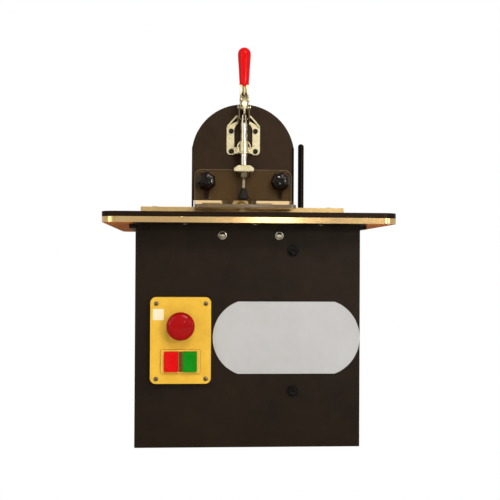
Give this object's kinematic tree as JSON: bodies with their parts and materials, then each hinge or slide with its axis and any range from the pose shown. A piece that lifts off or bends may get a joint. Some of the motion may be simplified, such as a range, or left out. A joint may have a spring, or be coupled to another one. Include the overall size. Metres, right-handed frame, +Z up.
{
  "type": "pocket hole machine",
  "caption": "Bench pocket hole machine: cabinet, banded table with fence, arched bracket with a push-pull toggle clamp, clear guard, lever-swung cutter, pilot drill and control station.",
  "frame": {"origin": "on the floor under the middle of the table", "axes": "+X to the lever side, -Y to the operator, +Z up"},
  "size_m": [0.413, 0.457, 0.6031],
  "materials": {
    "cabinet_paint": "warm black powder coat with a fine texture",
    "bracket_paint": "satin black powder coat",
    "lever_paint": "smooth black coated rod",
    "dark_sheet": "dark phenolic sheet, satin",
    "board": "plain brown fibre board",
    "gold_band": "pale gold anodised strip, polished",
    "fence_aluminium": "brushed bar",
    "cast_aluminium": "machined and bead blasted",
    "clamp_metal": "cream zinc plate",
    "bright_steel": "bright turned steel",
    "black_steel": "black oxide",
    "black_rubber": "matt moulded rubber",
    "red_vinyl": "soft dipped vinyl, satin",
    "clear_plastic": "clear polycarbonate sheet, slightly smoked",
    "knob_plastic": "glossy black moulding",
    "motor_plastic": "matt black moulding",
    "yellow_paint": "yellow moulded cover, satin",
    "brown_plastic": "yellow bezel with a brown divider",
    "estop_plastic": "dark red moulded mushroom head",
    "red_plastic": "bright red button cap",
    "green_plastic": "green button cap",
    "grey_plate": "bare light grey plate"
  },
  "bodies": {
    "frame": {"front_panel": "cabinet_paint", "left_side_panel": "cabinet_paint", "right_side_panel": "cabinet_paint", "rear_cover": "cabinet_paint", "base_plate": "cabinet_paint", "front_frame": "bright_steel", "panel_screw_left": "bright_steel", "panel_screw_right": "bright_steel", "cap_screw_upper": "black_steel", "cap_screw_lower": "black_steel", "table_top_sheet": "dark_sheet", "table_core": "board", "edge_band_front": "gold_band", "edge_band_wrap": "gold_band", "table_rail_left": "cabinet_paint", "table_rail_right": "cabinet_paint", "fence_bar": "fence_aluminium", "clamp_bracket": "bracket_paint", "clamp_base_left": "clamp_metal", "clamp_base_right": "clamp_metal", "clamp_barrel": "clamp_metal", "handle_pivot_pin": "bright_steel", "clamp_screw_1": "black_steel", "clamp_screw_2": "black_steel", "clamp_screw_3": "black_steel", "clamp_screw_4": "black_steel", "station_cover": "yellow_paint", "button_bezel": "brown_plastic", "contact_block": "motor_plastic", "badge_plate": "grey_plate", "shaft_bearing_left": "bright_steel", "shaft_bearing_right": "bright_steel", "rail_block_front": "cast_aluminium", "rail_block_rear": "cast_aluminium", "drill_rail_left": "bright_steel", "drill_rail_right": "bright_steel"},
    "swing_unit": {"pivot_shaft": "bright_steel", "lever": "lever_paint", "swing_arm": "cast_aluminium", "router_motor": "motor_plastic", "drive_arm": "cast_aluminium"},
    "cutter": {"pocket_cutter": "bright_steel"},
    "drill_carriage": {"drill_saddle": "cast_aluminium", "drill_motor": "motor_plastic"},
    "drill_spindle": {"drill_chuck": "bright_steel"},
    "clamp_lever": {"clamp_handle": "clamp_metal", "handle_grip": "red_vinyl"},
    "clamp_slide": {"clamp_plunger": "bright_steel", "plunger_pin": "bright_steel", "spindle_arm": "clamp_metal", "spindle_nut": "clamp_metal", "spindle_rod": "bright_steel", "spindle_tip": "black_rubber"},
    "clamp_connector": {"clamp_link": "clamp_metal"},
    "guard": {"guard_shield": "clear_plastic"},
    "left_knob": {"guard_knob_left": "knob_plastic"},
    "right_knob": {"guard_knob_right": "knob_plastic"},
    "emergency_stop": {"estop_button": "estop_plastic"},
    "stop_key": {"stop_button": "red_plastic"},
    "start_key": {"start_button": "green_plastic"}
  },
  "joints": [
    {"name": "lever_swing", "type": "hinge", "parent": "frame", "child": "swing_unit", "pos_m": [0, 0.0715, 0.2146], "axis": [1, 0, 0], "range_deg": [-12, 16]},
    {"name": "cutter_spin", "type": "hinge", "parent": "swing_unit", "child": "cutter", "pos_m": [0, -0.0735, 0.3016], "axis": [0, 0, 1], "continuous": true},
    {"name": "drill_feed", "type": "slide", "parent": "frame", "child": "drill_carriage", "axis": [0, -0.9945, -0.1045], "range_m": [-0.018, 0.024]},
    {"name": "drill_spin", "type": "hinge", "parent": "drill_carriage", "child": "drill_spindle", "pos_m": [0, -0.0285, 0.3526], "axis": [0, 0.9945, 0.1045], "continuous": true},
    {"name": "handle_swing", "type": "hinge", "parent": "frame", "child": "clamp_lever", "pos_m": [0, -0.0485, 0.5078], "axis": [1, 0, 0], "range_deg": [0, 110]},
    {"name": "plunger_slide", "type": "slide", "parent": "frame", "child": "clamp_slide", "axis": [0, 0, -1], "range_m": [0, 0.02074]},
    {"name": "link_swing", "type": "hinge", "parent": "clamp_slide", "child": "clamp_connector", "pos_m": [0, -0.0485, 0.4898], "axis": [1, 0, 0], "range_deg": [0, 3.67]},
    {"name": "guard_slide", "type": "slide", "parent": "frame", "child": "guard", "axis": [0, 0, 1], "range_m": [0, 0.022]},
    {"name": "left_knob_turn", "type": "hinge", "parent": "frame", "child": "left_knob", "pos_m": [-0.0585, -0.04, 0.3918], "axis": [0, -1, 0], "range_deg": [0, 360]},
    {"name": "right_knob_turn", "type": "hinge", "parent": "frame", "child": "right_knob", "pos_m": [0.0585, -0.04, 0.3918], "axis": [0, -1, 0], "range_deg": [0, 360]},
    {"name": "emergency_stop_press", "type": "slide", "parent": "frame", "child": "emergency_stop", "axis": [0, 1, 0], "range_m": [0, 0.004]},
    {"name": "stop_press", "type": "slide", "parent": "frame", "child": "stop_key", "axis": [0, 1, 0], "range_m": [0, 0.003], "stiffness_N_per_m": 300},
    {"name": "start_press", "type": "slide", "parent": "frame", "child": "start_key", "axis": [0, 1, 0], "range_m": [0, 0.003], "stiffness_N_per_m": 300}
  ],
  "couplings": [
    {"joint": "drill_feed", "follows": "lever_swing", "m_per_rad": 0.085944},
    {"joint": "plunger_slide", "follows": "handle_swing", "m_per_rad": 0.010803},
    {"joint": "link_swing", "follows": "handle_swing", "ratio": 0.033364}
  ]
}
